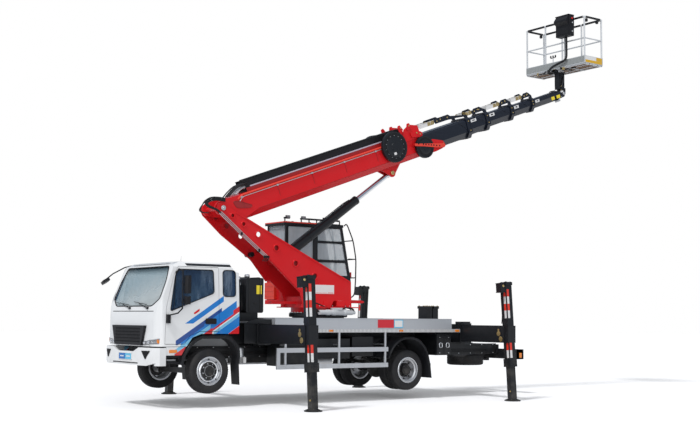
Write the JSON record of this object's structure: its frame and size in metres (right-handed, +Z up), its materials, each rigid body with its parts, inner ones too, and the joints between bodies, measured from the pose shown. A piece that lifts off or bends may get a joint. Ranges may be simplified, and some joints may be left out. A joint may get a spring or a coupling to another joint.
{
  "type": "cherry picker truck",
  "caption": "Telescopic-boom aerial work platform on a cab-over truck, standing on its outriggers with a work basket raised.",
  "frame": {"origin": "centre of the whole vehicle's box at the ground under its outrigger feet", "axes": "+X rearwards along the truck (cab at -X), +Y to the truck's right, +Z up"},
  "size_m": [12.2522, 5.88, 9.18],
  "materials": {
    "basket_paint": "light grey paint over galvanised tube",
    "black_boom": "satin blue-black paint",
    "black_paint": "satin black chassis paint",
    "black_plastic": "grained black plastic",
    "bright_metal": "bare aluminium",
    "chrome": "hard chrome, oiled",
    "clear_glass": "clear tinted glazing",
    "deck_metal": "brushed aluminium panels",
    "grey_casting": "grey painted casting",
    "grey_plastic": "dark grey plastic",
    "lamp_lens": "clear lamp lens over a bright reflector",
    "red_paint": "gloss red-orange paint",
    "tyre_rubber": "road tyre rubber",
    "wheel_silver": "silver wheel paint",
    "white_paint": "gloss white coachwork paint, a little road dust low down"
  },
  "bodies": {
    "chassis": {"chassis_frame": "black_paint", "engine": "grey_casting", "front_axle": "black_paint", "rear_axle": "black_paint", "spare_wheel": "tyre_rubber", "front_bumper": "white_paint", "mudguards": "grey_plastic", "fluid_tank": "black_paint", "deck": "deck_metal", "side_guards": "bright_metal", "slew_ring": "black_paint", "outrigger_housings": "black_paint"},
    "cab": {"cab_shell": "white_paint", "cab_glass": "clear_glass", "cab_interior": "grey_plastic", "grille": "black_plastic", "headlamps": "lamp_lens", "front_mirror": "black_plastic"},
    "left_door": {"door_left": "white_paint", "door_glass_left": "clear_glass", "mirror_left": "black_plastic"},
    "right_door": {"door_right": "white_paint", "door_glass_right": "clear_glass", "mirror_right": "black_plastic"},
    "left_knuckle": {"knuckle_left": "black_paint"},
    "right_knuckle": {"knuckle_right": "black_paint"},
    "left_front_wheel": {"tyre_front_left": "tyre_rubber", "rim_front_left": "wheel_silver"},
    "right_front_wheel": {"tyre_front_right": "tyre_rubber", "rim_front_right": "wheel_silver"},
    "left_rear_wheels": {"tyres_rear_left": "tyre_rubber", "rims_rear_left": "wheel_silver"},
    "right_rear_wheels": {"tyres_rear_right": "tyre_rubber", "rims_rear_right": "wheel_silver"},
    "turret": {"turret_frame": "red_paint", "slew_drive": "grey_casting", "operator_cabin": "black_paint", "operator_glass": "clear_glass", "operator_seat": "black_plastic"},
    "cabin_door": {"operator_door": "black_paint"},
    "boom": {"boom_base": "red_paint", "hose_reels": "black_plastic"},
    "section_2": {"boom_section_2": "black_boom"},
    "section_3": {"boom_section_3": "black_boom"},
    "section_4": {"boom_section_4": "black_boom"},
    "section_5": {"boom_section_5": "black_boom"},
    "section_6": {"boom_section_6": "black_boom"},
    "cylinder_rod": {"lift_rod": "chrome"},
    "cylinder_barrel": {"lift_barrel": "black_paint"},
    "mast": {"basket_mast": "black_paint"},
    "work_basket": {"basket": "basket_paint", "control_box": "black_plastic"},
    "front_left_beam": {"outrigger_beam_front_left": "black_paint"},
    "front_left_leg": {"outrigger_leg_front_left": "black_paint"},
    "front_right_beam": {"outrigger_beam_front_right": "black_paint"},
    "front_right_leg": {"outrigger_leg_front_right": "black_paint"},
    "rear_left_beam": {"outrigger_beam_rear_left": "black_paint"},
    "rear_left_leg": {"outrigger_leg_rear_left": "black_paint"},
    "rear_right_beam": {"outrigger_beam_rear_right": "black_paint"},
    "rear_right_leg": {"outrigger_leg_rear_right": "black_paint"}
  },
  "joints": [
    {"name": "left_steering", "type": "hinge", "parent": "chassis", "child": "left_knuckle", "pos_m": [-4.88, -0.8, 0.678], "axis": [0, 0, 1], "range_deg": [-32, 32]},
    {"name": "left_front_wheel_spin", "type": "hinge", "parent": "left_knuckle", "child": "left_front_wheel", "pos_m": [-4.88, -0.985, 0.678], "axis": [0, 1, 0], "continuous": true},
    {"name": "left_rear_wheel_spin", "type": "hinge", "parent": "chassis", "child": "left_rear_wheels", "pos_m": [-0.13, -0.975, 0.602], "axis": [0, 1, 0], "continuous": true},
    {"name": "left_door_hinge", "type": "hinge", "parent": "cab", "child": "left_door", "pos_m": [-5.812, -1.07, 1.5], "axis": [0, 0, -1], "range_deg": [0, 68]},
    {"name": "right_steering", "type": "hinge", "parent": "chassis", "child": "right_knuckle", "pos_m": [-4.88, 0.8, 0.678], "axis": [0, 0, 1], "range_deg": [-32, 32]},
    {"name": "right_front_wheel_spin", "type": "hinge", "parent": "right_knuckle", "child": "right_front_wheel", "pos_m": [-4.88, 0.985, 0.678], "axis": [0, 1, 0], "continuous": true},
    {"name": "right_rear_wheel_spin", "type": "hinge", "parent": "chassis", "child": "right_rear_wheels", "pos_m": [-0.13, 0.975, 0.602], "axis": [0, 1, 0], "continuous": true},
    {"name": "right_door_hinge", "type": "hinge", "parent": "cab", "child": "right_door", "pos_m": [-5.812, 1.07, 1.5], "axis": [0, 0, 1], "range_deg": [0, 68]},
    {"name": "cab_tilt", "type": "hinge", "parent": "chassis", "child": "cab", "pos_m": [-5.86, 0, 1.2], "axis": [0, -1, 0], "range_deg": [0, 45]},
    {"name": "turret_slew", "type": "hinge", "parent": "chassis", "child": "turret", "pos_m": [-1.68, 0, 1.9], "axis": [0, 0, 1], "continuous": true},
    {"name": "cabin_door_hinge", "type": "hinge", "parent": "turret", "child": "cabin_door", "pos_m": [-0.834, 1.18, 2.5], "axis": [0, 0, -1], "range_deg": [0, 90]},
    {"name": "boom_luff", "type": "hinge", "parent": "turret", "child": "boom", "pos_m": [-4.228, 0, 3.814], "axis": [0, -1, 0], "range_deg": [-34, 40]},
    {"name": "telescope_first", "type": "slide", "parent": "boom", "child": "section_2", "axis": [0.9397, 0, 0.342], "range_m": [-1.45, 2.5]},
    {"name": "telescope_second", "type": "slide", "parent": "section_2", "child": "section_3", "axis": [0.9397, 0, 0.342], "range_m": [-0.53, 3.4]},
    {"name": "telescope_follow_4", "type": "slide", "parent": "section_3", "child": "section_4", "axis": [0.9397, 0, 0.342], "range_m": [-0.53, 3.4]},
    {"name": "telescope_follow_5", "type": "slide", "parent": "section_4", "child": "section_5", "axis": [0.9397, 0, 0.342], "range_m": [-0.53, 3.4]},
    {"name": "telescope_follow_6", "type": "slide", "parent": "section_5", "child": "section_6", "axis": [0.9397, 0, 0.342], "range_m": [-0.53, 3.4]},
    {"name": "rod_eye", "type": "hinge", "parent": "boom", "child": "cylinder_rod", "pos_m": [0.2173, 0, 4.8892], "axis": [0, -1, 0], "range_deg": [-9, 10]},
    {"name": "cylinder_stroke", "type": "slide", "parent": "cylinder_rod", "child": "cylinder_barrel", "axis": [-0.8146, 0, -0.5801], "range_m": [-1, 1.2]},
    {"name": "basket_level", "type": "hinge", "parent": "section_6", "child": "mast", "pos_m": [5.6678, 0, 7.3253], "axis": [0, -1, 0], "range_deg": [-42, 37]},
    {"name": "basket_turn", "type": "hinge", "parent": "mast", "child": "work_basket", "pos_m": [5.64, 0, 7.85], "axis": [0, 0, 1], "range_deg": [-90, 90]},
    {"name": "front_left_beam_slide", "type": "slide", "parent": "chassis", "child": "front_left_beam", "axis": [0, 1, 0], "range_m": [0, 1.45]},
    {"name": "front_left_leg_slide", "type": "slide", "parent": "front_left_beam", "child": "front_left_leg", "axis": [0, 0.0767, 0.9971], "range_m": [-0.1, 0.6]},
    {"name": "front_right_beam_slide", "type": "slide", "parent": "chassis", "child": "front_right_beam", "axis": [0, -1, 0], "range_m": [0, 1.45]},
    {"name": "front_right_leg_slide", "type": "slide", "parent": "front_right_beam", "child": "front_right_leg", "axis": [0, -0.0767, 0.9971], "range_m": [-0.1, 0.6]},
    {"name": "rear_left_beam_slide", "type": "slide", "parent": "chassis", "child": "rear_left_beam", "axis": [0, 1, 0], "range_m": [0, 1.22]},
    {"name": "rear_left_leg_slide", "type": "slide", "parent": "rear_left_beam", "child": "rear_left_leg", "axis": [0, 0.0767, 0.9971], "range_m": [-0.1, 0.6]},
    {"name": "rear_right_beam_slide", "type": "slide", "parent": "chassis", "child": "rear_right_beam", "axis": [0, -1, 0], "range_m": [0, 1.22]},
    {"name": "rear_right_leg_slide", "type": "slide", "parent": "rear_right_beam", "child": "rear_right_leg", "axis": [0, -0.0767, 0.9971], "range_m": [-0.1, 0.6]}
  ],
  "couplings": [
    {"joint": "right_steering", "follows": "left_steering", "ratio": 1},
    {"joint": "rod_eye", "follows": "boom_luff", "ratio": 0.16},
    {"joint": "cylinder_stroke", "follows": "boom_luff", "m_per_rad": 1.6},
    {"joint": "basket_level", "follows": "boom_luff", "ratio": -1},
    {"joint": "telescope_follow_4", "follows": "telescope_second", "ratio": 1},
    {"joint": "telescope_follow_5", "follows": "telescope_second", "ratio": 1},
    {"joint": "telescope_follow_6", "follows": "telescope_second", "ratio": 1}
  ]
}
